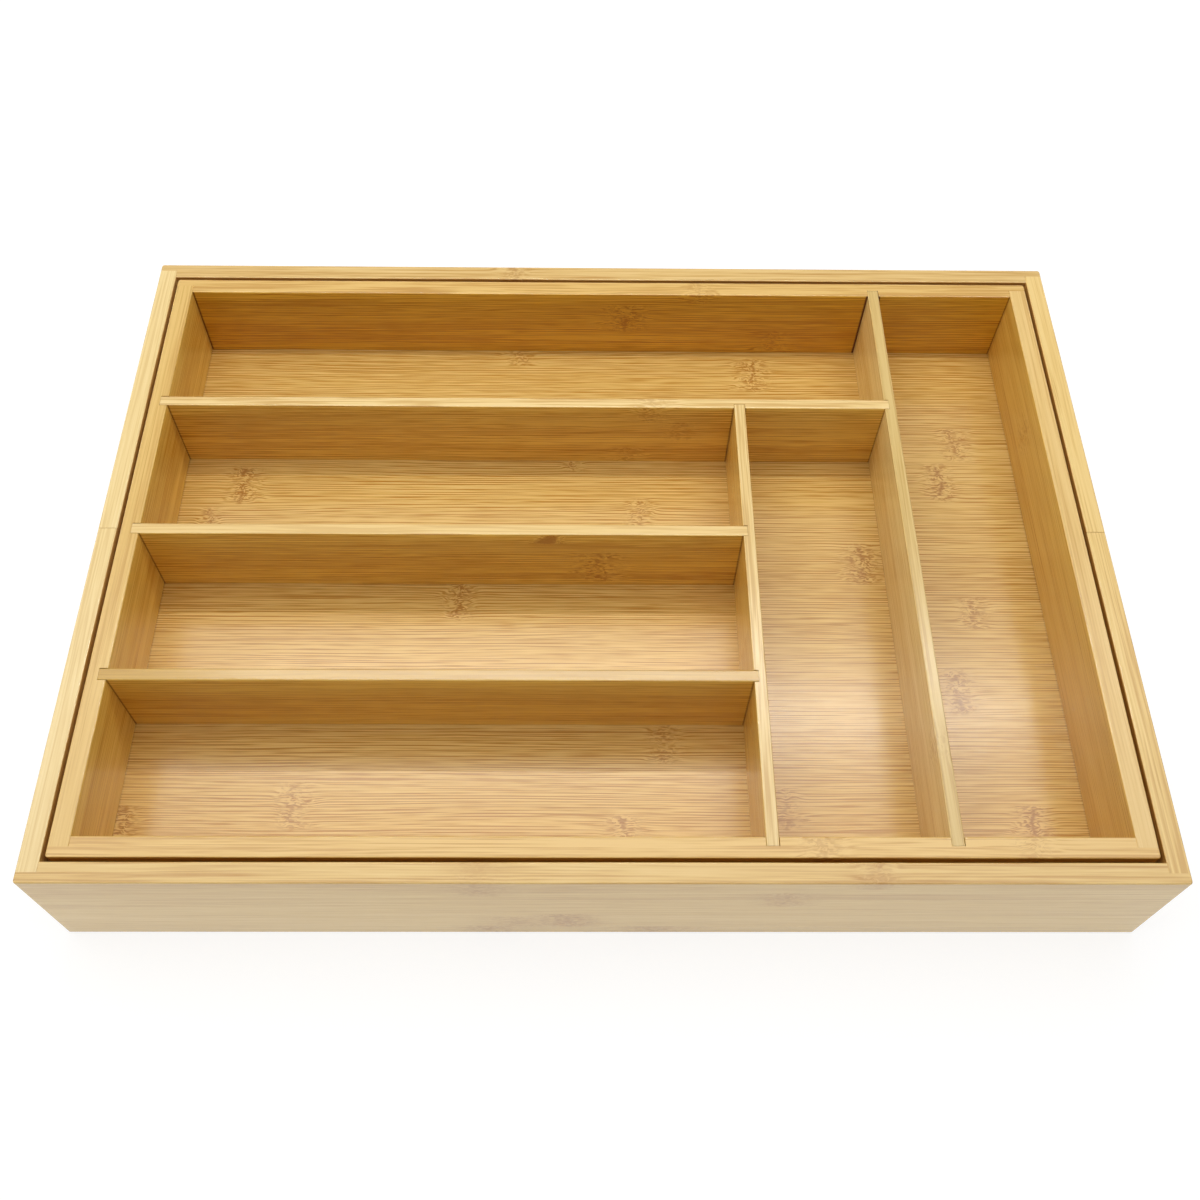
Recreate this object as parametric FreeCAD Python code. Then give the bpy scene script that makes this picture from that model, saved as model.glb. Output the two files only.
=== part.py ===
import FreeCAD, Part
import os

from FreeCAD import Vector

# Extendable bamboo cutlery tray. An inner tray with six compartments sits in an outer frame that is
# split across its middle. The back half and the front half of the frame pull apart, each with its
# own floor that runs under the inner tray. Four guides on the inner tray run in the frame's grooves.
# Origin: centre of the closed tray's footprint, on the surface that it stands on.
# X is the long way, +Y the back half, +Z up. Lengths are in millimetres.

# Outer frame
tray_length = 430.0
tray_depth = 300.0
tray_height = 65.0
outer_wall = 8.0
outer_corner_lap = 4.0
outer_floor_thickness = 5.0
outer_floor_lift = 6.0

# Inner tray
inner_wall = 8.0
inner_corner_lap = 4.0
inner_floor_thickness = 5.0
inner_floor_lift = 5.0
divider_thickness = 5.0
cross_compartment = 64.0
row_count = 4

# How deep one board is let into another
floor_groove_depth = 4.0
wall_housing_depth = 3.5
divider_housing_depth = 2.0

# Guides: each is glued into the inner tray and engages the frame's groove
slide_travel = 90.0
guide_length = 32.0
guide_height = 6.0
guide_level = 38.0
guide_end_inset = 6.5
guide_let_in = 2.5
guide_engagement = 2.7

# Clearances
side_gap = 1.5
running_gap = 0.3
seam_gap = 0.1
fit_gap = 0.1

# Rounded edges
corner_round = 1.2
rim_round = 0.6
base_round = 0.5
divider_round = 0.5
seam_round = 0.15

# Every cut runs this far past the face that it opens
overrun = 1.0

# Levels, from the surface upwards
outer_floor_top = outer_floor_lift + outer_floor_thickness
inner_base = outer_floor_top + running_gap
inner_floor_low = inner_base + inner_floor_lift
inner_floor_top = inner_floor_low + inner_floor_thickness

# The inner tray's outside, and the clear room inside its walls as half sizes
inner_length = tray_length - 2 * (outer_wall + side_gap)
inner_depth = tray_depth - 2 * (outer_wall + side_gap)
room_x = inner_length / 2 - inner_wall
room_y = inner_depth / 2 - inner_wall

# Middle planes of the dividers. The rows share the depth evenly, the back row first.
divider_half = divider_thickness / 2
long_cross_x = room_x - cross_compartment - divider_half
short_cross_x = long_cross_x - divider_thickness - cross_compartment
row_width = (2 * room_y - (row_count - 1) * divider_thickness) / row_count
row_pitch = row_width + divider_thickness
row_places = [room_y + divider_half - i * row_pitch for i in range(1, row_count)]

# The guides' ends along Y, and the groove that lets the frame travel and then stops it
guide_far = inner_depth / 2 - guide_end_inset
guide_near = guide_far - guide_length
groove_far = guide_far + running_gap
groove_near = guide_near - slide_travel - running_gap

ORIGIN = Vector(0, 0, 0)
UP = Vector(0, 0, 1)
HALF_TURN = 180


def block(x, y, z):
    """A box between the (low, high) pairs along X, Y and Z."""
    return Part.makeBox(x[1] - x[0], y[1] - y[0], z[1] - z[0], Vector(x[0], y[0], z[0]))


def around(middle, half):
    """The (low, high) pair that reaches half to each side of middle."""
    return (middle - half, middle + half)


def on_side(side, first, second):
    """The (low, high) pair between two distances from the middle, on the + or the - side."""
    return tuple(sorted((side * first, side * second)))


def same(first, second):
    """True if two places along an axis are one place, as far as the modeller can tell."""
    return abs(first - second) < Part.Precision.approximation()


def lies_at(low, high, place):
    """True if an edge that reaches from low to high lies at the one place."""
    return same(low, place) and same(high, place)


def ease(shape, radius, wanted):
    """Rounds the edges whose bounding boxes meet the wanted test."""
    return shape.makeFillet(radius, [e for e in shape.Edges if wanted(e.BoundBox)])


def turned(shape):
    """A copy given half a turn about the upright axis, so back becomes front and right becomes left."""
    copy = shape.copy()
    copy.rotate(ORIGIN, UP, HALF_TURN)
    return copy


def rounded_bar(x, y, height):
    """A bar along Y at the guides' level, with the half-round ends that a router leaves."""
    radius = height / 2
    low_z, high_z = around(guide_level, radius)
    near_y, far_y = y[0] + radius, y[1] - radius
    low_near, low_far = Vector(x[0], near_y, low_z), Vector(x[0], far_y, low_z)
    high_near, high_far = Vector(x[0], near_y, high_z), Vector(x[0], far_y, high_z)
    near_tip, far_tip = Vector(x[0], y[0], guide_level), Vector(x[0], y[1], guide_level)
    outline = Part.Wire([
        Part.LineSegment(low_near, low_far).toShape(),
        Part.Arc(low_far, far_tip, high_far).toShape(),
        Part.LineSegment(high_far, high_near).toShape(),
        Part.Arc(high_near, near_tip, low_near).toShape(),
    ])
    return Part.Face(outline).extrude(Vector(x[1] - x[0], 0, 0))


def floor_levels(floor_low, thickness):
    """The height of the groove that a floor of that thickness slips into."""
    return (floor_low - fit_gap, floor_low + thickness + fit_gap)


def long_wall(length, depth, wall, lap, base, groove_z):
    """The back wall of a frame: full length, with a rabbet at each end for a short wall."""
    end, outer = length / 2, depth / 2
    inner = outer - wall
    board = block((-end, end), (inner, outer), (base, tray_height))
    board = ease(board, corner_round,
                 lambda b: lies_at(b.YMin, b.YMax, outer) and same(b.XMin, b.XMax))
    board = ease(board, rim_round, lambda b: lies_at(b.ZMin, b.ZMax, tray_height))
    board = ease(board, base_round, lambda b: lies_at(b.ZMin, b.ZMax, base))
    full_height = (base - overrun, tray_height + overrun)
    cuts = [block(on_side(side, end - wall, end + overrun), (inner - overrun, inner + lap), full_height)
            for side in (-1, 1)]
    groove_end = end - wall + floor_groove_depth
    cuts.append(block((-groove_end, groove_end), (inner - overrun, inner + floor_groove_depth), groove_z))
    return board.cut(cuts)


def short_wall(length, wall, y, base, groove_z):
    """The right wall of a frame, from y[0] to y[1], with the floor's groove along its inner face."""
    outer = length / 2
    inner = outer - wall
    board = block((inner, outer), y, (base, tray_height))
    board = ease(board, rim_round,
                 lambda b: lies_at(b.ZMin, b.ZMax, tray_height) and same(b.XMin, b.XMax))
    board = ease(board, base_round,
                 lambda b: lies_at(b.ZMin, b.ZMax, base) and same(b.XMin, b.XMax))
    past_ends = (y[0] - overrun, y[1] + overrun)
    return board.cut(block((inner - overrun, inner + floor_groove_depth), past_ends, groove_z))


def housing(x, y, low=inner_floor_top):
    """The upright slot that a divider's end slips into, open at the rim."""
    return block(x, y, (low, tray_height + overrun))


# Outer frame: the back half, which is also the front half when turned

def outer_back_wall():
    return long_wall(tray_length, tray_depth, outer_wall, outer_corner_lap, 0,
                     floor_levels(outer_floor_lift, outer_floor_thickness))


def outer_right_wall():
    """The back half's right wall, eased at the seam and grooved for a guide."""
    seam = seam_gap / 2
    inner_x = tray_length / 2 - outer_wall
    joint_end = tray_depth / 2 - outer_wall + outer_corner_lap
    board = short_wall(tray_length, outer_wall, (seam, joint_end), 0,
                       floor_levels(outer_floor_lift, outer_floor_thickness))
    board = ease(board, seam_round,
                 lambda b: lies_at(b.YMin, b.YMax, seam) and lies_at(b.XMin, b.XMax, tray_length / 2))
    groove_x = (inner_x - overrun, inner_x + guide_engagement + running_gap)
    return board.cut(rounded_bar(groove_x, (groove_near, groove_far), guide_height + 2 * running_gap))


def outer_left_wall():
    return outer_right_wall().mirror(ORIGIN, Vector(1, 0, 0))


def outer_floor():
    edge_x = tray_length / 2 - outer_wall + floor_groove_depth - fit_gap
    edge_y = tray_depth / 2 - outer_wall + floor_groove_depth - fit_gap
    return block((-edge_x, edge_x), (seam_gap / 2, edge_y), (outer_floor_lift, outer_floor_top))


# Inner tray

def inner_end_wall():
    """The back wall before its housings are cut, and the front wall when turned."""
    return long_wall(inner_length, inner_depth, inner_wall, inner_corner_lap, inner_base,
                     floor_levels(inner_floor_low, inner_floor_thickness))


def end_wall_housing(side, x):
    slot_y = on_side(side, room_y - overrun, room_y + wall_housing_depth)
    return housing(around(x, divider_half + fit_gap), slot_y)


def inner_back_wall():
    return inner_end_wall().cut(end_wall_housing(1, long_cross_x))


def inner_front_wall():
    return turned(inner_end_wall()).cut([end_wall_housing(-1, x) for x in (long_cross_x, short_cross_x)])


def inner_right_wall():
    """The right wall, with a recess in its outer face for each of its two guides."""
    joint_end = room_y + inner_corner_lap
    board = short_wall(inner_length, inner_wall, (-joint_end, joint_end), inner_base,
                       floor_levels(inner_floor_low, inner_floor_thickness))
    outer = inner_length / 2
    recess_x = (outer - guide_let_in, outer + overrun)
    recess_height = guide_height + 2 * fit_gap
    return board.cut([rounded_bar(recess_x, on_side(side, guide_near - fit_gap, guide_far + fit_gap),
                                  recess_height) for side in (-1, 1)])


def inner_left_wall():
    slot_x = on_side(-1, room_x - overrun, room_x + wall_housing_depth)
    return turned(inner_right_wall()).cut(
        [housing(slot_x, around(y, divider_half + fit_gap)) for y in row_places])


def inner_floor():
    edge_x = room_x + floor_groove_depth - fit_gap
    edge_y = room_y + floor_groove_depth - fit_gap
    return block((-edge_x, edge_x), (-edge_y, edge_y), (inner_floor_low, inner_floor_top))


def guide(side_x, side_y):
    outer = inner_length / 2
    reach_x = on_side(side_x, outer - guide_let_in, outer + side_gap + guide_engagement)
    return rounded_bar(reach_x, on_side(side_y, guide_near, guide_far), guide_height)


# Dividers: each end stops a fit gap short of the bottom of its housing

wall_reach = wall_housing_depth - fit_gap
divider_reach = divider_housing_depth - fit_gap


def divider(x, y):
    """A board that stands on the inner floor, with its two long rim edges eased."""
    board = block(x, y, (inner_floor_top, tray_height))
    along_y = y[1] - y[0] > x[1] - x[0]

    def rim(b):
        lengthwise = same(b.XMin, b.XMax) if along_y else same(b.YMin, b.YMax)
        return lengthwise and lies_at(b.ZMin, b.ZMax, tray_height)

    return ease(board, divider_round, rim)


def slot_from_left(face_x, y):
    """A housing in a cross divider's left face for the end of a row divider."""
    return housing((face_x - overrun, face_x + divider_housing_depth),
                   around(y, divider_half + fit_gap), inner_floor_top - overrun)


def long_cross_divider():
    board = divider(around(long_cross_x, divider_half), around(0, room_y + wall_reach))
    return board.cut(slot_from_left(long_cross_x - divider_half, row_places[0]))


def short_cross_divider():
    back_end = row_places[0] - divider_half + divider_reach
    board = divider(around(short_cross_x, divider_half), (-room_y - wall_reach, back_end))
    return board.cut([slot_from_left(short_cross_x - divider_half, y) for y in row_places[1:]])


def row_divider(y, cross_x):
    right_end = cross_x - divider_half + divider_reach
    return divider((-room_x - wall_reach, right_end), around(y, divider_half))


def back_row_divider():
    """The longest row divider, with a housing in its front face for the short cross divider."""
    front = row_places[0] - divider_half
    slot = housing(around(short_cross_x, divider_half + fit_gap),
                   (front - overrun, front + divider_housing_depth), inner_floor_top - overrun)
    return row_divider(row_places[0], long_cross_x).cut(slot)


def pieces():
    """Every piece of the tray by its name."""
    made = {
        "back_wall": outer_back_wall(),
        "back_left_wall": outer_left_wall(),
        "back_right_wall": outer_right_wall(),
        "back_floor": outer_floor(),
        "front_wall": turned(outer_back_wall()),
        "front_left_wall": turned(outer_right_wall()),
        "front_right_wall": turned(outer_left_wall()),
        "front_floor": turned(outer_floor()),
        "inner_back_wall": inner_back_wall(),
        "inner_front_wall": inner_front_wall(),
        "inner_left_wall": inner_left_wall(),
        "inner_right_wall": inner_right_wall(),
        "inner_floor": inner_floor(),
        "long_cross_divider": long_cross_divider(),
        "short_cross_divider": short_cross_divider(),
        "row_divider_1": back_row_divider(),
    }
    for number, y in enumerate(row_places[1:], start=2):
        made[f"row_divider_{number}"] = row_divider(y, short_cross_x)
    for back_or_front, side_y in (("back", 1), ("front", -1)):
        for left_or_right, side_x in (("left", -1), ("right", 1)):
            made[f"guide_{back_or_front}_{left_or_right}"] = guide(side_x, side_y)
    return made


os.makedirs("parts", exist_ok=True)
for name, shape in pieces().items():
    shape.exportStep(f"parts/{name}.step")
    print(f"{name}: {len(shape.Solids)} solid, {shape.Volume:.0f} mm3, valid {shape.isValid()}")
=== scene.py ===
# %% [markdown]
# # An extendable bamboo cutlery tray
# The imported model holds every board of the tray at its real size, with its eased edges, its grooves and
# the dark gaps between the boards. No board needs a new shape here, so this lesson is about the finish:
# bamboo, glued up from strips, and a satin lacquer over it. We load the boards first.

# %% Load the boards
import math

import bmesh
import bpy
from mathutils import Matrix, Vector


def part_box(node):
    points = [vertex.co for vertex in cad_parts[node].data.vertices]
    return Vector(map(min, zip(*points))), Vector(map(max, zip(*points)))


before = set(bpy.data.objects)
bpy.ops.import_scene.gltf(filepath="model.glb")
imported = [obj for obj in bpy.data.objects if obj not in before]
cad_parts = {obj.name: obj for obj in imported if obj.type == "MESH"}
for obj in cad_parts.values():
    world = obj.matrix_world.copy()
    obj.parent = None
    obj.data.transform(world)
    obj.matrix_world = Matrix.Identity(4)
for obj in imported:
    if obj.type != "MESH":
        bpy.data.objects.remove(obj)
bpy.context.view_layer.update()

# %% [markdown]
# ## The camera
# The tray was photographed from the front and well above, with a short lens and a small roll. Fitting the
# corners of the rim and of the base gives where the lens stood. A camera could also be aimed with a
# constraint, but a plain position, a target and a roll are easier to read. The picture was cropped after it
# was taken, so the lens axis passes above the middle: that is the vertical shift.

# %% Set up the camera
LENS_PLACE = Vector((-0.00929, -0.29662, 0.55664))
LENS_TARGET = Vector((-0.00162, 0.04146, 0.065))
FOCAL_LENGTH_MM = 40.28
ROLL = math.radians(1.36)
CROP_SHIFT = -0.125


def aimed(place, target):
    """The matrix of a camera or lamp that stands at one point and looks at another."""
    turn = (target - place).to_track_quat("-Z", "Y")
    return Matrix.Translation(place) @ turn.to_matrix().to_4x4()


def make_camera():
    """The camera, turned about its own axis by the roll."""
    data = bpy.data.cameras.new("camera")
    data.lens = FOCAL_LENGTH_MM
    data.shift_y = CROP_SHIFT
    camera = bpy.data.objects.new("camera", data)
    bpy.context.scene.collection.objects.link(camera)
    camera.matrix_world = aimed(LENS_PLACE, LENS_TARGET) @ Matrix.Rotation(ROLL, 4, "Z")
    bpy.context.scene.camera = camera
    return camera


camera = make_camera()
print("camera at", [round(x, 3) for x in camera.matrix_world.translation], "focal length", camera.data.lens)

# %% [markdown]
# ## Node helpers
# Shader nodes can be built one call at a time, but the wiring soon hides the idea. A few small helpers keep
# each finish readable: one places a node and fills its sockets, and the others do arithmetic on numbers or
# on vectors, fade a value between two limits, and centre a value on 0.

# %% Node helpers
def add(tree, kind, inputs, **settings):
    """Places a node. A value that is another node's socket is linked, and any other is set."""
    node = tree.nodes.new(kind)
    for name, value in settings.items():
        setattr(node, name, value)
    for key, value in inputs.items():
        if isinstance(value, bpy.types.NodeSocket):
            tree.links.new(value, node.inputs[key])
        else:
            node.inputs[key].default_value = value
    return node


def calc(tree, operation, *values):
    """Arithmetic on numbers and sockets."""
    return add(tree, "ShaderNodeMath", dict(enumerate(values)), operation=operation).outputs[0]


def vector_calc(tree, operation, *values):
    """The same for vectors."""
    return add(tree, "ShaderNodeVectorMath", dict(enumerate(values)), operation=operation).outputs[0]


def fade(tree, value, low, high):
    """0 at low, 1 at high, and a smooth step between them."""
    return add(tree, "ShaderNodeMapRange", {"Value": value, "From Min": low, "From Max": high},
               interpolation_type="SMOOTHSTEP").outputs[0]


def centred(tree, value):
    """Moves a value from 0 to 1 so that its middle is 0."""
    return calc(tree, "SUBTRACT", value, 0.5)


print("materials before the finish:", len(bpy.data.materials))

# %% [markdown]
# A finish that all boards share could be copied into every material, but then every change has to be made
# in every copy. A node group is built once and placed in each material with that board's own values. Its
# sockets have names and kinds, so that it reads like a function.

# %% Group helpers
NUMBER, VECTOR, COLOUR = "NodeSocketFloat", "NodeSocketVector", "NodeSocketColor"


def new_group(name, inputs, outputs):
    """A node group with named sockets, and the sockets that its own nodes read and fill."""
    group = bpy.data.node_groups.new(name, "ShaderNodeTree")
    for socket, kind in inputs.items():
        group.interface.new_socket(name=socket, in_out="INPUT", socket_type=kind)
    for socket, kind in outputs.items():
        group.interface.new_socket(name=socket, in_out="OUTPUT", socket_type=kind)
    return group, group.nodes.new("NodeGroupInput").outputs, group.nodes.new("NodeGroupOutput").inputs


def put_out(group, gives, **values):
    """Links the group's results to its outputs."""
    for name, value in values.items():
        group.links.new(value, gives[name])
    print("group", group.name, "has", len(group.nodes), "nodes")


print("groups before the finish:", len(bpy.data.node_groups))

# %% [markdown]
# ## Strips
# A bamboo board is glued up from planed strips about as wide as a thumb. Thick boards have two plies, so
# a rim shows a line along its middle. Every strip was cut from another cane, so it has its own shade. The
# group counts strips and plies from the board's corner, and white noise on the counts gives each strip its
# own luck. A brick texture could do this too, but it has no third dimension for the plies.

# %% Strip group
STAGGER = 0.43
GLUE_WIDTH = 0.0003

strips, given, gives = new_group(
    "bamboo strips",
    {"Place": VECTOR, "Seed": NUMBER, "First Strip": NUMBER, "Strip Width": NUMBER, "Ply": NUMBER},
    {"Tone": NUMBER, "Density": NUMBER, "Glue": NUMBER, "Luck": COLOUR})
across, through = add(strips, "ShaderNodeSeparateXYZ", {0: given["Place"]}).outputs[1:]
ply = calc(strips, "FLOOR", calc(strips, "DIVIDE", through, given["Ply"]))
first = calc(strips, "MULTIPLY_ADD", ply, STAGGER, given["First Strip"])
count = calc(strips, "ADD", calc(strips, "DIVIDE", across, given["Strip Width"]), first)
cell = add(strips, "ShaderNodeCombineXYZ", {0: calc(strips, "FLOOR", count), 1: ply, 2: given["Seed"]})
luck = add(strips, "ShaderNodeTexWhiteNoise", {"Vector": cell.outputs[0]}).outputs["Color"]
tone, density = add(strips, "ShaderNodeSeparateColor", {0: luck}).outputs[:2]
from_middle = calc(strips, "ABSOLUTE", centred(strips, calc(strips, "FRACT", count)))
to_edge = calc(strips, "MULTIPLY", calc(strips, "SUBTRACT", 0.5, from_middle), given["Strip Width"])
glue = fade(strips, to_edge, GLUE_WIDTH, 0.0)
put_out(strips, gives, Tone=tone, Density=density, Luck=luck, Glue=glue)

# %% [markdown]
# ## Knuckles
# A cane is closed by a wall at every joint. Where a strip crosses one, its fibres tangle into a patch of
# short, wavy dashes with a crooked spine: the knuckle that tells bamboo from wood. Random knuckles would do,
# but the real tray has them at certain places, so each one is put where it shows. The group finds how
# deep a point lies in one knuckle and keeps the larger of that and what came before, so that knuckles can
# be chained. The fan is strongest a little beside the spine, where the fibres spread. Across the strip a
# knuckle is whole up to one share of its half width and gone at another.

# %% Knuckle group
SPINE_SHARE = 0.16
GONE_AT, WHOLE_AT = 1.15, 0.75

knuckle, given, gives = new_group(
    "bamboo knuckle",
    {"Place": VECTOR, "Along": NUMBER, "Across": NUMBER, "Half Length": NUMBER, "Half Width": NUMBER,
     "Strength": NUMBER, "Cover So Far": NUMBER, "Spine So Far": NUMBER, "Fan So Far": NUMBER},
    {"Cover": NUMBER, "Spine": NUMBER, "Fan": NUMBER})
along, across = add(knuckle, "ShaderNodeSeparateXYZ", {0: given["Place"]}).outputs[:2]
off_along = calc(knuckle, "SUBTRACT", along, given["Along"])
off_along = calc(knuckle, "DIVIDE", off_along, given["Half Length"])
off_across = calc(knuckle, "SUBTRACT", across, given["Across"])
off_across = calc(knuckle, "DIVIDE", off_across, given["Half Width"])
in_strip = fade(knuckle, calc(knuckle, "ABSOLUTE", off_across), GONE_AT, WHOLE_AT)
in_strip = calc(knuckle, "MULTIPLY", in_strip, given["Strength"])
square = calc(knuckle, "MULTIPLY", off_along, off_along)
bell = calc(knuckle, "EXPONENT", calc(knuckle, "MULTIPLY", square, -1.0))
near = calc(knuckle, "MULTIPLY", in_strip, bell)
sharp_bell = calc(knuckle, "EXPONENT", calc(knuckle, "MULTIPLY", square, -1 / SPINE_SHARE ** 2))
at_spine = calc(knuckle, "MULTIPLY", in_strip, sharp_bell)
spread = calc(knuckle, "MULTIPLY", near, calc(knuckle, "ABSOLUTE", off_along))
put_out(knuckle, gives, Cover=calc(knuckle, "MAXIMUM", given["Cover So Far"], near),
        Spine=calc(knuckle, "MAXIMUM", given["Spine So Far"], at_spine),
        Fan=calc(knuckle, "MAXIMUM", given["Fan So Far"], spread))

# %% [markdown]
# ## Noise along the grain
# Noise is as long as it is wide. Multiplying the place by a small number along the grain and by large ones
# across it draws the bumps out into fibres. A Mapping node could scale the place as well, but as a plain
# product the numbers are bumps per metre. A place that is moved sideways before the noise is read bends the
# fibres, and noise that swings about 0 says by how much. The fan, the spread of the fibres around a knuckle,
# is such a swing.

# %% Noise along the grain
FANS_PER_METRE = (40, 150, 150)
FAN_REACH = 0.018


def noise(tree, place, per_metre, detail=1.0):
    """Noise from 0 to 1, with so many bumps per metre along each axis."""
    stretched = vector_calc(tree, "MULTIPLY", place, per_metre)
    return add(tree, "ShaderNodeTexNoise", {"Vector": stretched, "Scale": 1.0, "Detail": detail}).outputs[0]


def swing(tree, place, per_metre, reach, detail=1.0):
    """Noise about 0, from half a reach on one side to half a reach on the other."""
    return calc(tree, "MULTIPLY", centred(tree, noise(tree, place, per_metre, detail)), reach)


def sideways(tree, place, amount):
    """Moves a place across the grain and through the plies by the same amount."""
    return vector_calc(tree, "ADD", place,
                       add(tree, "ShaderNodeCombineXYZ", {1: amount, 2: amount}).outputs[0])


print("the fan reaches over", FAN_REACH, "metres")

# %% [markdown]
# ## Fibres
# Bamboo has no rings. Its wood is a bundle of straight fibres, some of them dark, that run the whole length
# of the cane. Noise that is stretched along the grain looks like them, but it also has broad blotches.
# Taking the same noise away again, one fibre further across the grain, keeps the thin lines and drops
# the blotches. A slow sway keeps the lines from being ruled, and the fan of a knuckle spreads and squeezes
# them. Because the noise is solid, the same group draws lines on faces and rims, and dots on the sawn ends.

# %% Fibre group
SWAYS_PER_METRE = (7, 36, 36)
SWAY = 0.003
FIBRE_WIDTH = 0.0004
FIBRES_PER_METRE = (15, 1650, 1650)
SPECKS_PER_METRE = (75, 1500, 1500)
PATCHES_PER_METRE = (9, 70, 70)
STREAKS_PER_METRE = (7, 170, 170)
SPECK_SHARE = 0.35
THREAD_SHARE = 0.7
LEAST_PRESENCE, MORE_PRESENCE = 0.3, 0.8
LINE_FROM, LINE_FULL = 0.15, 0.34

fibres, given, gives = new_group(
    "bamboo fibres",
    {"Place": VECTOR, "Fan": NUMBER},
    {"Lines": NUMBER, "Fine": NUMBER, "Streak": NUMBER})
place = given["Place"]
slow = swing(fibres, place, SWAYS_PER_METRE, SWAY, detail=0.0)
fan = swing(fibres, place, FANS_PER_METRE, FAN_REACH)
bent = sideways(fibres, place, calc(fibres, "MULTIPLY_ADD", fan, given["Fan"], slow))
here = noise(fibres, bent, FIBRES_PER_METRE, detail=0.0)
one_further = vector_calc(fibres, "ADD", bent, (0.0, FIBRE_WIDTH, 0.0))
beside = noise(fibres, one_further, FIBRES_PER_METRE, detail=0.0)
thread = calc(fibres, "SUBTRACT", here, beside)
speck = centred(fibres, noise(fibres, bent, SPECKS_PER_METRE, detail=0.0))
fine = calc(fibres, "MULTIPLY_ADD", speck, SPECK_SHARE, 0.5)
patches = noise(fibres, place, PATCHES_PER_METRE, detail=0.0)
presence = calc(fibres, "MULTIPLY_ADD", patches, MORE_PRESENCE, LEAST_PRESENCE)
line = fade(fibres, thread, LINE_FROM, LINE_FULL)
put_out(fibres, gives,
        Lines=calc(fibres, "MULTIPLY", line, presence),
        Fine=calc(fibres, "MULTIPLY_ADD", thread, THREAD_SHARE, fine),
        Streak=noise(fibres, bent, STREAKS_PER_METRE))

# %% [markdown]
# The dashes of a knuckle are drawn once for all knuckles of a board: short and wavy, pale ones between dark
# ones. They lean with the fan, to both sides of the spine, and are darkest along it. Where a knuckle is
# stronger than 1 a branch grew from it, and the knot that it left is solid and dark.

# %% Dash group
DASHES_PER_METRE = (280, 1600, 1600)
WAVES_PER_METRE = (260, 260, 260)
KNOTS_PER_METRE = (150, 420, 420)
WAVE = 0.0035
KNOT_FROM, KNOT_FULL = 0.45, 0.58
DARK_FROM, DARK_FULL = 0.52, 0.62
PALE_FROM, PALE_FULL = 0.47, 0.37
SOLID_FROM, SOLID_FULL = 1.0, 3.0

dashes, given, gives = new_group(
    "bamboo knuckle dashes",
    {"Place": VECTOR, "Cover": NUMBER, "Spine": NUMBER, "Fan": NUMBER},
    {"Dark": NUMBER, "Pale": NUMBER})
place = given["Place"]
wave = swing(dashes, place, WAVES_PER_METRE, WAVE)
fan = swing(dashes, place, FANS_PER_METRE, FAN_REACH)
waved = sideways(dashes, place, calc(dashes, "MULTIPLY_ADD", fan, given["Fan"], wave))
dash = noise(dashes, waved, DASHES_PER_METRE, detail=0.0)
knots = fade(dashes, noise(dashes, place, KNOTS_PER_METRE), KNOT_FROM, KNOT_FULL)
along_spine = calc(dashes, "MULTIPLY", knots, given["Spine"])
dark = calc(dashes, "MULTIPLY", fade(dashes, dash, DARK_FROM, DARK_FULL), given["Cover"])
pale = calc(dashes, "MULTIPLY", fade(dashes, dash, PALE_FROM, PALE_FULL), given["Cover"])
solid = fade(dashes, given["Cover"], SOLID_FROM, SOLID_FULL)
put_out(dashes, gives,
        Dark=calc(dashes, "MAXIMUM", solid, calc(dashes, "MAXIMUM", dark, along_spine)),
        Pale=calc(dashes, "MULTIPLY", pale, calc(dashes, "SUBTRACT", 1.0, solid)))

# %% [markdown]
# ## Lacquer
# The tray is sprayed with a satin lacquer. Where a floor mirrors the lamp above, the lacquer lays a pale
# veil over the grain. A little orange peel and the marks of the planer ripple it. The group gives
# the roughness and the height of the ripples, so that any board can share it.

# %% Lacquer group
SMOOTHEST = 0.18
ROUGHER_BY = 0.06
PEEL_SHARE = 0.4
CLOUDS_PER_METRE = (25, 60, 60)
PLANER_MARKS_PER_METRE = (3000, 250, 250)
PEEL_PER_METRE = (330, 330, 330)

lacquer, given, gives = new_group(
    "satin lacquer",
    {"Place": VECTOR},
    {"Roughness": NUMBER, "Ripple": NUMBER})
patchy = noise(lacquer, given["Place"], CLOUDS_PER_METRE, detail=2.0)
planed = noise(lacquer, given["Place"], PLANER_MARKS_PER_METRE, detail=0.0)
peel = noise(lacquer, given["Place"], PEEL_PER_METRE, detail=0.0)
put_out(lacquer, gives, Roughness=calc(lacquer, "MULTIPLY_ADD", patchy, ROUGHER_BY, SMOOTHEST),
        Ripple=calc(lacquer, "MULTIPLY_ADD", peel, PEEL_SHARE, planed))

# %% [markdown]
# ## The bamboo of one board
# All boards share the groups, and each board has its own material, because each was sawn from other
# strips. A Mapping node turns and moves the tray's coordinates into the board's own: along the grain,
# across the strips and through the plies, counted from one corner. The longest side of a board is its grain
# and the shortest its thickness, so the frame itself says how to turn it.

# %% Place on a board
MM = 0.001


def board_axes(name):
    """How a board turns into its own axes, its corner there, and its length, width and thickness."""
    low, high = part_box(name)
    size = high - low
    order = sorted(range(3), key=lambda axis: -size[axis])
    grain, stack = (Vector([float(axis == chosen) for axis in range(3)]) for chosen in order[:2])
    turn = Matrix((grain, stack, grain.cross(stack)))
    corner = Vector(map(min, turn @ low, turn @ high))
    return turn, corner, [size[axis] for axis in order]


floor_size = board_axes("inner_floor")[2]
print("inner floor, length, width and thickness:", [round(side, 4) for side in floor_size])

# %% [markdown]
# A board's knuckles come as a list. Each one is a node of the knuckle group, fed with the results of the
# one before it. The place swings along the grain first, so that the spines are crooked, not straight bars.

# %% Chain the knuckles
CROOK = 8 * MM
CROOKS_PER_METRE = (60, 220, 220)


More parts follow.
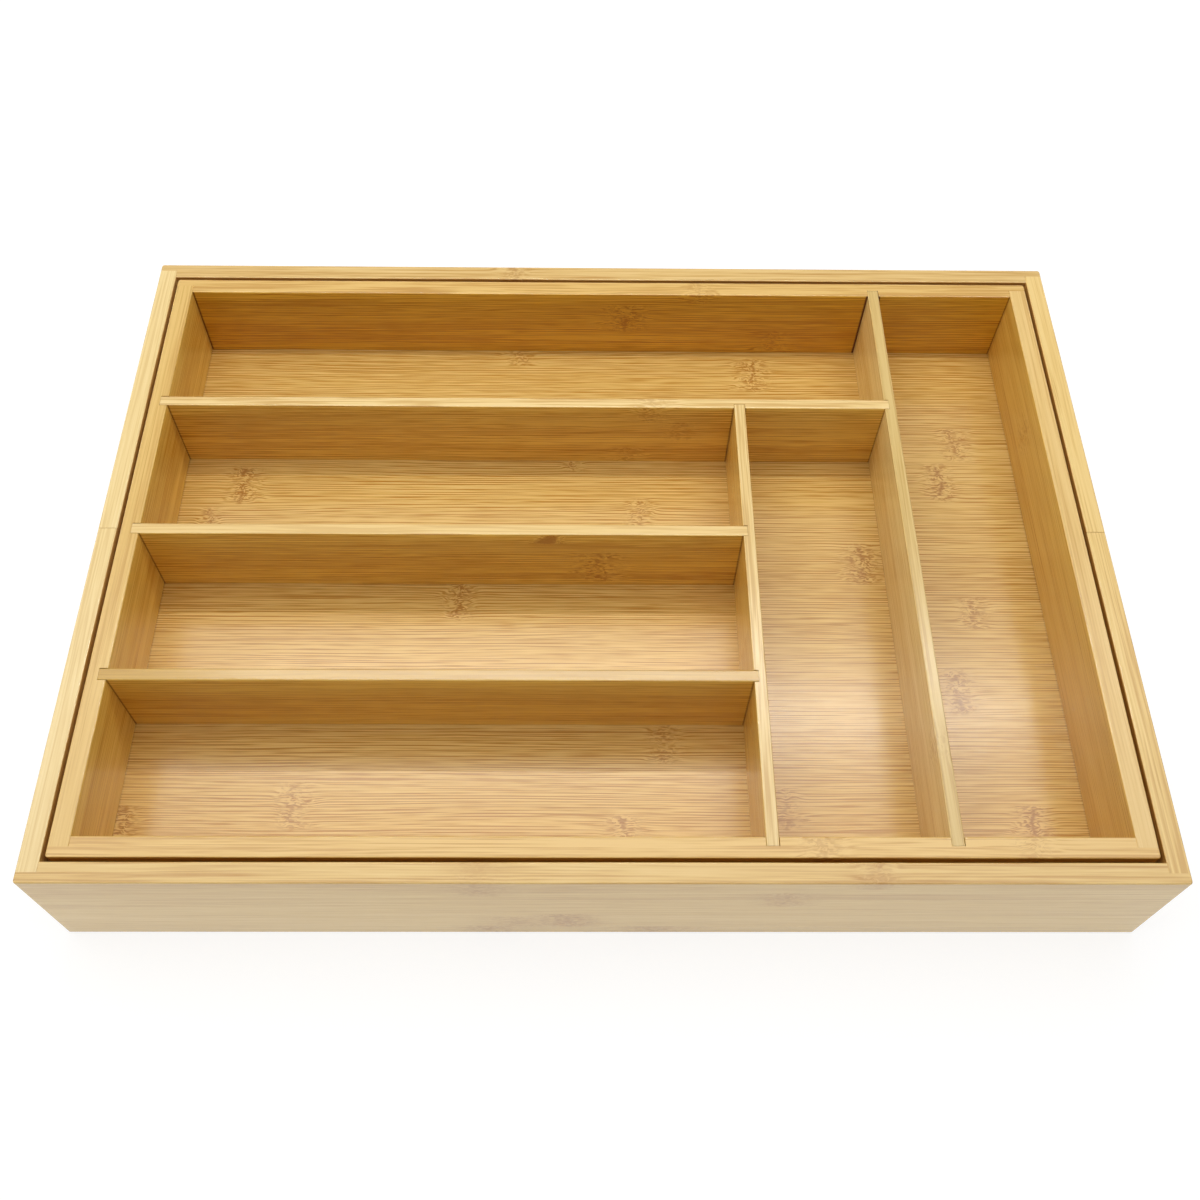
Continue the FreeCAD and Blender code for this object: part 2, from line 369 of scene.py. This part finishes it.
def use(tree, group, inputs):
    """Places a group in a tree and gives its outputs."""
    return add(tree, "ShaderNodeGroup", inputs, node_tree=group).outputs


def find_knuckles(tree, place, shifted, knuckles):
    """How deep a point lies in any of a board's knuckles, which are given in millimetres."""
    crook = swing(tree, shifted, CROOKS_PER_METRE, CROOK)
    crooked = vector_calc(tree, "ADD", place, add(tree, "ShaderNodeCombineXYZ", {0: crook}).outputs[0])
    found = {"Cover": 0.0, "Spine": 0.0, "Fan": 0.0}
    for along, across, half_length, half_width, strength in knuckles:
        found = use(tree, knuckle, {
            "Place": crooked, "Along": along * MM, "Across": across * MM, "Half Length": half_length * MM,
            "Half Width": half_width * MM, "Strength": strength, "Cover So Far": found["Cover"],
            "Spine So Far": found["Spine"], "Fan So Far": found["Fan"]})
    return found


print("a spine swings within", CROOK / MM, "mm")

# %% [markdown]
# ## Colours of the grain
# Each board has a base colour, and the darker and paler shades are that colour times a tint: bamboo turns
# redder as it darkens, so the tint takes more from blue than from red. A ramp turns the shade of the strip,
# of its streaks and of its fibres into a colour. The darkest fibres and the glue between the strips are then
# laid over it.

# %% Colours of the grain
SAME = (1.0, 1.0, 1.0)
DARKER = (0.72, 0.57, 0.35)
PALER = (1.14, 1.22, 1.50)
FIBRE_TINT = (0.62, 0.43, 0.21)
STRIP_CONTRAST = 0.3
FIBRE_CONTRAST = -2.4
LEAST_DENSITY, MORE_DENSITY = 0.3, 0.5
GLUE_STRENGTH = 0.5


def blend(tree, factor, first, second, how="MIX"):
    """A colour mix. Its colour sockets are the seventh and the eighth."""
    return add(tree, "ShaderNodeMix", {0: factor, 6: first, 7: second}, data_type="RGBA",
               blend_type=how).outputs[2]


def tinted(colour, tint):
    """A colour times a tint, with its alpha."""
    return tuple(part * share for part, share in zip(colour, tint)) + (1.0,)


def scaled(tree, value, strength):
    """A mask at a part of its strength."""
    return calc(tree, "MULTIPLY", value, strength)


def grain_colour(tree, base, strip, fibre, lines, streaks):
    """The wood of the strips, with their fibres and the glue between them."""
    shade = calc(tree, "MULTIPLY_ADD", centred(tree, strip["Tone"]), STRIP_CONTRAST, 0.5)
    shade = calc(tree, "MULTIPLY_ADD", centred(tree, fibre["Streak"]), streaks, shade)
    shade = calc(tree, "MULTIPLY_ADD", centred(tree, fibre["Fine"]), FIBRE_CONTRAST * lines, shade)
    ramp = add(tree, "ShaderNodeValToRGB", {0: shade})
    stops = ramp.color_ramp.elements
    stops[0].color = tinted(base, DARKER)
    stops[1].color = tinted(base, PALER)
    stops.new(0.5).color = tinted(base, SAME)
    density = calc(tree, "MULTIPLY_ADD", strip["Density"], MORE_DENSITY * lines, LEAST_DENSITY * lines)
    lined = calc(tree, "MINIMUM", 1.0, calc(tree, "MULTIPLY", fibre["Lines"], density))
    colour = blend(tree, lined, ramp.outputs[0], tinted(base, FIBRE_TINT))
    return blend(tree, scaled(tree, strip["Glue"], GLUE_STRENGTH), colour, tinted(base, FIBRE_TINT))


print("the darkest fibres keep these shares of red, green and blue:", FIBRE_TINT)

# %% [markdown]
# A knuckle is laid over the grain in three coats, as a painter would do it: first a brown haze, then the
# pale dashes, and the dark ones last, because they are the sharpest.

# %% Colours of the knuckles
KNUCKLE_TINT = (0.54, 0.35, 0.20)
HAZE_STRENGTH = 0.12
PALE_DASH_STRENGTH = 0.8
DARK_DASH_STRENGTH = 0.85


def knuckle_colour(tree, base, colour, place, found, haze):
    """The haze and the dashes of a board's knuckles."""
    mark = use(tree, dashes, {"Place": place, "Cover": found["Cover"], "Spine": found["Spine"],
                              "Fan": found["Fan"]})
    colour = blend(tree, scaled(tree, found["Cover"], haze), colour, tinted(base, DARKER))
    colour = blend(tree, scaled(tree, mark["Pale"], PALE_DASH_STRENGTH), colour, tinted(base, PALER))
    return blend(tree, scaled(tree, mark["Dark"], DARK_DASH_STRENGTH), colour, tinted(base, KNUCKLE_TINT))


print("a knuckle keeps these shares of red, green and blue:", KNUCKLE_TINT)

# %% [markdown]
# ## Ends and rims
# The sawn ends drink more lacquer and are darker. The rims are sanded, so their lines are fainter. Their
# tint is painted light: it paints how the light falls on them from above, so most rims are paler and whiter
# than the faces. Ends and rims could have materials of their own, but the grain has to run on over the
# edge, so one material finds them by the way that a point faces.

# %% Ends and rims
TURNED_AWAY, FACING = 0.55, 0.9
END_TINT = (0.72, 0.62, 0.50, 1.0)
END_STRENGTH = 0.8
# Painted light: the rims' tint, paler and whiter than the faces, paints the light that falls on them from
# above.
RIM_LIGHT_TINT = (1.10, 1.19, 1.9)


def faces(tree, direction):
    """1 where a surface faces along a direction or against it, 0 where it lies along it."""
    normal = add(tree, "ShaderNodeNewGeometry", {}).outputs["Normal"]
    along = add(tree, "ShaderNodeVectorMath", {0: normal, 1: direction}, operation="DOT_PRODUCT")
    return fade(tree, calc(tree, "ABSOLUTE", along.outputs["Value"]), TURNED_AWAY, FACING)


def trim_colour(tree, base, colour, turn, rim, calm):
    """Darkens the sawn ends, fades the lines of the rims, and tints the rims with painted light."""
    colour = blend(tree, scaled(tree, faces(tree, turn[0]), END_STRENGTH), colour, END_TINT, "MULTIPLY")
    on_rim = faces(tree, turn[1])
    colour = blend(tree, scaled(tree, on_rim, calm), colour, tinted(base, SAME))
    # The rim tint is painted light from above.
    return blend(tree, on_rim, colour, tinted(rim, SAME), "MULTIPLY")


print("rims are tinted, unless a board has its own tint, by", RIM_LIGHT_TINT)

# %% [markdown]
# ## Joints
# Where a divider stands on the floor, or a wall stands around it, a thin brown line of glue and shadow
# shows. A strip of mesh would be too thick for it. A mask draws it as fine as it is: it is 1 at the foot of
# a divider, or where a floor leaves the grooves that its edges sit in, and fades within a millimetre.

# %% Joints
JOINT_TINT = (0.50, 0.40, 0.30, 1.0)
JOINT_STRENGTH = 0.35
JOINT_WIDTH = 0.8 * MM
GROOVE_DEPTH = 3.9 * MM


def edge_distance(tree, value, length):
    """How far a value between 0 and a length is from the nearer of the two."""
    off_middle = calc(tree, "ABSOLUTE", calc(tree, "SUBTRACT", value, length / 2))
    return calc(tree, "SUBTRACT", length / 2, off_middle)


def joint_colour(tree, colour, place, joint, size):
    """The line at the foot of a divider, or around a floor whose edges sit in grooves."""
    along, across = add(tree, "ShaderNodeSeparateXYZ", {0: place}).outputs[:2]
    if joint == "foot":
        distance = across
    else:
        from_ends = edge_distance(tree, along, size[0])
        from_sides = edge_distance(tree, across, size[1])
        nearest = calc(tree, "MINIMUM", from_ends, from_sides)
        distance = calc(tree, "SUBTRACT", nearest, GROOVE_DEPTH)
    at_joint = fade(tree, distance, JOINT_WIDTH, 0.0)
    return blend(tree, scaled(tree, at_joint, JOINT_STRENGTH), colour, JOINT_TINT, "MULTIPLY")


print("a joint line is", JOINT_WIDTH / MM, "mm wide")

# %% [markdown]
# ## Corners
# In the corners of the compartments the end of one board meets the face of another, and the joint shows as
# an upright dark line, widest beside the long divider. The line is painted shadow in the narrow gap of the
# joint, with a little glue. Its place could be written down for every board, but the box of the other board
# already says it: the line lies on the face where a point is only just outside that box.

# %% Corners
# Painted shadow: the near-black colour of the lines in the corner joints.
CORNER_SHADOW_TINT = (0.15, 0.06, 0.05, 1.0)
CORNER_WIDTH = 1.4 * MM
CORNER_CORE = 0.6 * MM


def outside(tree, point, name):
    """How far a point lies outside a board's box, along the axis on which it is furthest out."""
    low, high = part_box(name)
    off_middle = vector_calc(tree, "ABSOLUTE", vector_calc(tree, "SUBTRACT", point, (low + high) / 2))
    beyond = vector_calc(tree, "SUBTRACT", off_middle, (high - low) / 2)
    x, y, z = add(tree, "ShaderNodeSeparateXYZ", {0: beyond}).outputs
    return calc(tree, "MAXIMUM", z, calc(tree, "MAXIMUM", x, y))


def corner_shadow_colour(tree, colour, point, turn, meets):
    """The painted shadow lines beside the boards that stand against this board's faces."""
    on_face = faces(tree, turn[2])
    for name, strength in meets:
        beside = fade(tree, outside(tree, point, name), CORNER_WIDTH * strength, CORNER_CORE * strength)
        line = calc(tree, "MULTIPLY", on_face, scaled(tree, beside, strength))
        # Painted shadow in the corner joint, with a little glue.
        colour = blend(tree, line, colour, CORNER_SHADOW_TINT, "MULTIPLY")
    return colour


print("the widest corner lines are", CORNER_WIDTH / MM, "mm wide")

# %% [markdown]
# ## The gap
# The gap between the tray and its frame is a dark line too. The camera sees a few millimetres into it,
# where pale boards would light each other up. A wider gap would be darker, but no longer the size of the
# real one, so the faces on both sides of it get painted shade: they are redder and darker than the rest. The
# gap is as far from the middle on one side of the tray as on the other, so it is measured once and used on
# both.

# %% The gap
# Painted shade: the tint of the faces in the gap.
GAP_SHADE_TINT = (0.80, 0.64, 0.46, 1.0)
GAP_MARGIN = 0.1 * MM
GAP_WALLS = (("inner_right_wall", "back_right_wall"), ("inner_back_wall", "back_wall"))


def gap_shade_colour(tree, colour, point):
    """The painted shade on the faces on both sides of the gap, which runs along X and along Y."""
    separate = add(tree, "ShaderNodeSeparateXYZ", {0: point})
    for axis, (tray_wall, frame_wall) in enumerate(GAP_WALLS):
        tray_side, frame_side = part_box(tray_wall)[1][axis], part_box(frame_wall)[0][axis]
        from_centre = calc(tree, "ABSOLUTE", separate.outputs[axis])
        off_gap = calc(tree, "ABSOLUTE", calc(tree, "SUBTRACT", from_centre, (tray_side + frame_side) / 2))
        in_gap = calc(tree, "LESS_THAN", off_gap, (frame_side - tray_side) / 2 + GAP_MARGIN)
        direction = [float(axis == other) for other in range(3)]
        dark = calc(tree, "MULTIPLY", in_gap, faces(tree, direction))
        # Painted shade on the faces that stand in the gap.
        colour = blend(tree, dark, colour, GAP_SHADE_TINT, "MULTIPLY")
    return colour


gap_widths = [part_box(frame_wall)[0][axis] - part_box(tray_wall)[1][axis]
              for axis, (tray_wall, frame_wall) in enumerate(GAP_WALLS)]
print("gap at the side and at the back in mm:", [round(width / MM, 2) for width in gap_widths])

# %% [markdown]
# ## One material from all of this
# The shader gets the colour, and from the lacquer its roughness and its ripples as a bump. A coat layer on
# top of the shader would be another way, but the bamboo under a clear lacquer has no gloss of its own, so
# one gloss is enough.

# %% Board material
STRIP_WIDTH = 21.3 * MM
RIPPLE_DEPTH = 0.012 * MM
LACQUER_IOR = 1.55
RIM_CALM = 0.45


def bamboo(name, seed, base, lines, streaks, plies=1, first_strip=0.0, rim=RIM_LIGHT_TINT, calm=RIM_CALM,
           joint=None, meets=(), haze=HAZE_STRENGTH, knuckles=()):
    """The lacquered bamboo of one board, by its name and its look."""
    turn, corner, size = board_axes(name)
    material = bpy.data.materials.new(f"bamboo_{name}")
    material.use_nodes = True
    tree = material.node_tree
    shader = tree.nodes["Principled BSDF"]
    point = add(tree, "ShaderNodeTexCoord", {}).outputs["Object"]
    mapping = {"Vector": point, "Rotation": turn.to_euler(), "Location": -corner}
    place = add(tree, "ShaderNodeMapping", mapping).outputs[0]
    strip = use(tree, strips, {"Place": place, "Seed": seed, "First Strip": first_strip,
                               "Strip Width": STRIP_WIDTH, "Ply": size[2] / plies})
    shifted = vector_calc(tree, "ADD", place, strip["Luck"])
    found = find_knuckles(tree, place, shifted, knuckles)
    fibre = use(tree, fibres, {"Place": shifted, "Fan": found["Fan"]})
    colour = grain_colour(tree, base, strip, fibre, lines, streaks)
    if knuckles:
        colour = knuckle_colour(tree, base, colour, place, found, haze)
    colour = trim_colour(tree, base, colour, turn, rim, calm)
    if joint:
        colour = joint_colour(tree, colour, place, joint, size)
    colour = corner_shadow_colour(tree, colour, point, turn, meets)
    colour = gap_shade_colour(tree, colour, point)
    coat = use(tree, lacquer, {"Place": shifted})
    bump = add(tree, "ShaderNodeBump", {"Height": coat["Ripple"], "Distance": RIPPLE_DEPTH})
    tree.links.new(colour, shader.inputs["Base Color"])
    tree.links.new(coat["Roughness"], shader.inputs["Roughness"])
    tree.links.new(bump.outputs[0], shader.inputs["Normal"])
    shader.inputs["IOR"].default_value = LACQUER_IOR
    print("material", material.name, "has", len(tree.nodes), "nodes")
    return material


print("strips are", STRIP_WIDTH / MM, "mm wide")

# %% [markdown]
# ## Dress the boards
# Each board's look is a base colour, how strong its lines and streaks are, its plies, and how much of its
# first strip was sawn off. The rim is a tint of its rims, which paints how the light falls on them, and calm
# is how far their lines fade. The boards that it meets come with the strength of the painted shadow line
# beside them. The haze is how brown it is around its knuckles. Colours are linear. What several boards
# share has a name of its own.

# %% Shared looks
AMBER = (0.69, 0.375, 0.029)
HONEY = (0.74, 0.46, 0.09)
FLOOR_HONEY = (0.67, 0.43, 0.118)
GOLD = (0.81, 0.55, 0.18)
# Painted light: the pale cream of the outer left walls and the white of their rims stand for the brighter
# light on the left side.
LEFT_LIT_CREAM = (0.92, 0.69, 0.28)
STRAW = (0.80, 0.545, 0.178)
LEFT_RIM_LIGHT = (0.97, 0.97, 1.05)
ROW_CORNERS = (("inner_left_wall", 0.6), ("short_cross_divider", 0.6))

WALL_LOOK = dict(base=GOLD, lines=0.7, streaks=0.8, plies=2, rim=SAME, calm=0.35)
FLOOR_LOOK = dict(base=FLOOR_HONEY, lines=1.3, streaks=0.5, rim=SAME)
print("a wall has", WALL_LOOK["plies"], "plies")

# %% [markdown]
# A knuckle is written as its place along the grain, its place across, its half length, its half width
# and its strength, in millimetres on the board. The inner tray is seen best, so it has the most of them.

# %% Looks of the inner tray
INNER_LOOKS = {
    "inner_floor": dict(FLOOR_LOOK, joint="frame", first_strip=0.594, knuckles=[
        (32, 187, 6, 10.5, 1.0), (219, 171, 5, 9, 0.7), (277, 254, 6.5, 10.5, 1.0), (160, 267, 5, 8, 0.7),
        (137, 126, 5, 10.5, 1.0), (75, 31, 5.5, 10, 0.7), (6, 22, 5.5, 9, 1.0), (227, 58, 5.5, 9, 0.7),
        (210, 20, 5.5, 7.5, 0.9), (321, 145, 6, 10.5, 1.0), (373, 212, 6, 10, 0.8),
        (363, 190, 5.5, 10.5, 1.0), (368, 120, 5, 8, 0.8), (355, 82, 6, 10.5, 0.9), (377, 25, 6, 6.5, 1.0),
        (276, 30, 5.5, 9, 0.5), (187, 200, 4, 5, 0.7), (19, 168, 4, 6, 0.8)]),
    "inner_back_wall": dict(
        base=AMBER, lines=1.9, streaks=2.2, plies=2, first_strip=0.84, rim=(1.06, 1.21, 4.3),
        meets=(("inner_left_wall", 0.8), ("long_cross_divider", 1.0), ("inner_right_wall", 0.6)),
        knuckles=[(217, 36, 9, 10, 1.0), (292, 19, 7, 8, 0.6), (252, 54, 6, 7, 0.7)]),
    "inner_front_wall": dict(
        base=HONEY, lines=1.2, streaks=1.3, plies=2, rim=(1.04, 1.05, 1.55),
        meets=(("inner_left_wall", 0.5), ("short_cross_divider", 0.5), ("long_cross_divider", 0.5),
               ("inner_right_wall", 0.5)),
        knuckles=[(286, 52, 7, 8, 0.7), (364, 50, 6, 7, 0.6)]),
    "inner_left_wall": dict(
        base=(0.765, 0.487, 0.092), lines=0.6, streaks=0.9, plies=2, rim=(1.01, 1.03, 1.60)),
    "inner_right_wall": dict(
        base=(0.71, 0.43, 0.078), lines=0.6, streaks=0.9, plies=2, rim=(1.10, 1.2, 2.2),
        knuckles=[(202, 33, 7, 9, 0.5)]),
    # Part of the row dividers' paler base colours is painted light: the light that the floor in front
    # bounces onto their faces.
    "row_divider_1": dict(
        base=(0.78, 0.49, 0.088), lines=1.9, streaks=2.2, first_strip=0.45, rim=(1.07, 1.2, 2.6),
        meets=(*ROW_CORNERS, ("long_cross_divider", 0.5)), joint="foot",
        knuckles=[(223, 40, 7, 8, 0.7), (236, 25, 7, 8, 0.5), (212, 5, 6, 7, 0.6)]),
    "row_divider_2": dict(
        base=(0.79, 0.51, 0.09), lines=1.8, streaks=2.1, first_strip=0.51, rim=(1.05, 1.13, 2.4),
        calm=0.7, meets=ROW_CORNERS, joint="foot",
        knuckles=[(199, 16, 9, 13, 1.0), (177, 39.5, 3.5, 3.5, 4.0)]),
    "row_divider_3": dict(
        base=(0.79, 0.51, 0.09), lines=1.0, streaks=1.4, first_strip=0.2, rim=(0.76, 0.69, 0.59),
        calm=0.7, meets=ROW_CORNERS, joint="foot"),
    "long_cross_divider": dict(
        base=(0.83, 0.62, 0.23), lines=0.7, streaks=0.8, rim=(0.81, 0.74, 0.64),
        joint="foot", knuckles=[(40, 39, 6, 8, 0.4)]),
    "short_cross_divider": dict(
        base=(0.72, 0.455, 0.095), lines=1.0, streaks=1.0, rim=(1.12, 1.25, 2.3), joint="foot"),
}
print("looks of the inner tray:", len(INNER_LOOKS))

# %% [markdown]
# The outer frame is plainer and paler. On its front wall the knuckles are wide brown clouds with few
# dashes, so its haze is strong.

# %% Looks of the outer frame
OUTER_LOOKS = {
    "front_wall": dict(
        base=STRAW, lines=0.45, streaks=0.75, plies=2, rim=(0.95, 0.92, 0.90), calm=0, haze=1.2,
        knuckles=[(200, 17, 11, 9, 0.65), (183, 15, 14, 8, 0.35), (168, 57, 9, 8, 0.4), (283, 45, 9, 9, 0.5),
                  (170, 4, 12, 6, 0.45), (237, 4, 14, 5, 0.4), (315, 63, 6, 5, 0.35)]),
    "back_wall": dict(
        base=GOLD, lines=0.7, streaks=0.9, plies=2, rim=(0.89, 0.86, 0.88), calm=0.2,
        knuckles=[(172, 60, 6, 8, 0.7), (95, 20, 8, 9, 0.8), (318, 38, 8, 9, 0.7)]),
    # The outer left walls are paler and their rims whiter: that is painted light, for the brighter light on
    # the left side.
    "back_left_wall": dict(WALL_LOOK, base=LEFT_LIT_CREAM, rim=LEFT_RIM_LIGHT, calm=0.65, knuckles=[(48, 22, 7, 9, 0.7)]),
    "front_left_wall": dict(WALL_LOOK, base=LEFT_LIT_CREAM, rim=LEFT_RIM_LIGHT, calm=0.65, knuckles=[(92, 42, 7, 9, 0.7)]),
    "back_right_wall": dict(WALL_LOOK, knuckles=[(70, 43, 7, 9, 0.6)]),
    "front_right_wall": dict(WALL_LOOK, knuckles=[(40, 20, 7, 9, 0.7)]),
    "back_floor": dict(FLOOR_LOOK, knuckles=[(96, 38, 8, 10.5, 0.8), (288, 102, 8, 10.5, 0.8)]),
    "front_floor": dict(FLOOR_LOOK, knuckles=[(150, 96, 8, 10.5, 0.8), (330, 32, 8, 10.5, 0.8)]),
}
print("looks of the outer frame:", len(OUTER_LOOKS))

# %% [markdown]
# Now every board gets its material. The seeds follow the order of the names, so that each run gives the
# same strips. A board that is in neither list, such as a guide, gets the look of an outer wall.

# %% Dress the boards
FIRST_SEED = 0.5

looks = INNER_LOOKS | OUTER_LOOKS
for number, (name, board) in enumerate(sorted(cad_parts.items())):
    material = bamboo(name, seed=FIRST_SEED + number, **looks.get(name, WALL_LOOK))
    board.data.materials.clear()
    board.data.materials.append(material)
print("dressed boards:", len(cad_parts))

# %% [markdown]
# ## The white floor
# The tray stands on white paper that runs out of sight. A diffuse floor alone would turn grey towards the
# edges, and more light would bleach the bamboo. So the paper glows by itself where the camera or a
# reflection looks at it, and the rest of what is seen is diffuse and keeps the soft shadow. Away from the
# tray the glow rises to full white. Light that bounces from the paper to the tray sees plain paper.

# %% Paper
PAPER_WHITE = 0.88
SEEN_WHITE = 0.3
GLOW_NEAR = 0.8
GLOW_FAR = 1.0
FAR_FROM, FAR_TO = 0.4, 1.2


def seen_directly(tree):
    """1 for rays from the camera and for those that a gloss or glass sends on, else 0."""
    path = add(tree, "ShaderNodeLightPath", {}).outputs
    mirrored = calc(tree, "MAXIMUM", path["Is Glossy Ray"], path["Is Transmission Ray"])
    return calc(tree, "MAXIMUM", path["Is Camera Ray"], mirrored)


def paper_material():
    """White paper that glows where it is seen."""
    material = bpy.data.materials.new("white_paper")
    material.use_nodes = True
    tree = material.node_tree
    tree.nodes.clear()
    seen = seen_directly(tree)
    white = calc(tree, "MULTIPLY_ADD", seen, SEEN_WHITE - PAPER_WHITE, PAPER_WHITE)
    grey = add(tree, "ShaderNodeCombineColor", {0: white, 1: white, 2: white}).outputs[0]
    paper = add(tree, "ShaderNodeBsdfDiffuse", {"Color": grey}).outputs[0]
    point = add(tree, "ShaderNodeTexCoord", {}).outputs["Object"]
    distance = add(tree, "ShaderNodeVectorMath", {0: point}, operation="LENGTH").outputs["Value"]
    far = fade(tree, distance, FAR_FROM, FAR_TO)
    strength = calc(tree, "MULTIPLY_ADD", far, GLOW_FAR - GLOW_NEAR, GLOW_NEAR)
    glow = add(tree, "ShaderNodeEmission", {"Strength": calc(tree, "MULTIPLY", seen, strength)}).outputs[0]
    both = add(tree, "ShaderNodeAddShader", {0: paper, 1: glow}).outputs[0]
    add(tree, "ShaderNodeOutputMaterial", {"Surface": both})
    return material


paper = paper_material()
print("paper has", len(paper.node_tree.nodes), "nodes")

# %% [markdown]
# The floor is one large flat face. A curved sweep would hide where a wall begins, but nothing of a wall is
# in the picture.

# %% Floor
FLOOR_SIDE = 8.0


def make_floor():
    """A square of paper under the tray."""
    mesh = bpy.data.meshes.new("floor")
    shape = bmesh.new()
    bmesh.ops.create_grid(shape, x_segments=1, y_segments=1, size=FLOOR_SIDE / 2)
    shape.to_mesh(mesh)
    shape.free()
    floor = bpy.data.objects.new("floor", mesh)
    bpy.context.scene.collection.objects.link(floor)
    mesh.materials.append(paper)
    print("floor", FLOOR_SIDE, "metres wide")


make_floor()

# %% [markdown]
# ## Lamps
# The photograph shows the light of a small studio tent. In front of the back wall and of every row divider
# lies a band of shadow with a sharp edge. It is 3 mm wide in the back row and 21 mm in the front row, so
# its source is a narrow bar 0.56 m up, above the back of the tray. The veil on the floor shows the same bar
# mirrored. Everything else is soft: a pale roof, a brighter left side, a darker right side and a low card in
# front. A lamp is written as its place, the point that it faces, its two sides, and the brightness that a
# mirror would show, where 1 is white.

# %% Lamps
TENT = {
    "bar": ((0.03, 0.166, 0.56), (0.03, 0.166, 0.0), (0.68, 0.01), 43.4),
    "roof": ((0.0, 0.1, 1.2), (0.0, 0.1, 0.0), (1.6, 1.0), 1.96),
    "left_side": ((-1.0, 0.1, 0.6), (0.0, 0.1, 0.2), (1.4, 1.0), 1.01),
    "right_side": ((1.0, 0.1, 0.6), (0.0, 0.1, 0.2), (1.4, 1.0), 0.45),
    "front_card": ((0.0, -0.9, 0.12), (0.0, 0.0, 0.05), (1.8, 0.24), 1.6),
}


def make_lamp(name, place, target, size, brightness):
    """An area lamp whose power follows from its sides and its brightness."""
    data = bpy.data.lights.new(name, "AREA")
    data.shape = "RECTANGLE"
    data.size, data.size_y = size
    data.energy = brightness * math.pi * size[0] * size[1]
    lamp = bpy.data.objects.new(name, data)
    lamp.matrix_world = aimed(Vector(place), Vector(target))
    lamp.visible_camera = False
    bpy.context.scene.collection.objects.link(lamp)
    print("lamp", name, "power", round(data.energy, 2), "watts")


for name, look in TENT.items():
    make_lamp(name, *look)

# %% [markdown]
# ## World
# The room beyond the tent is seen as plain white, but it lights the tray only a little. White walls could
# stand around the tray instead, but the world needs no mesh and looks the same from every side.

# %% World
WORLD_FILL = 0.06


def make_world():
    """A world that is white to look at and dim as a light."""
    world = bpy.data.worlds.new("white studio")
    bpy.context.scene.world = world
    world.use_nodes = True
    tree = world.node_tree
    background = tree.nodes["Background"]
    background.inputs["Color"].default_value = (1.0, 1.0, 1.0, 1.0)
    strength = calc(tree, "MULTIPLY_ADD", seen_directly(tree), 1 - WORLD_FILL, WORLD_FILL)
    tree.links.new(strength, background.inputs["Strength"])


make_world()
bpy.context.scene.view_settings.view_transform = "Standard"
print("lamps:", len(TENT), "world fill:", WORLD_FILL)
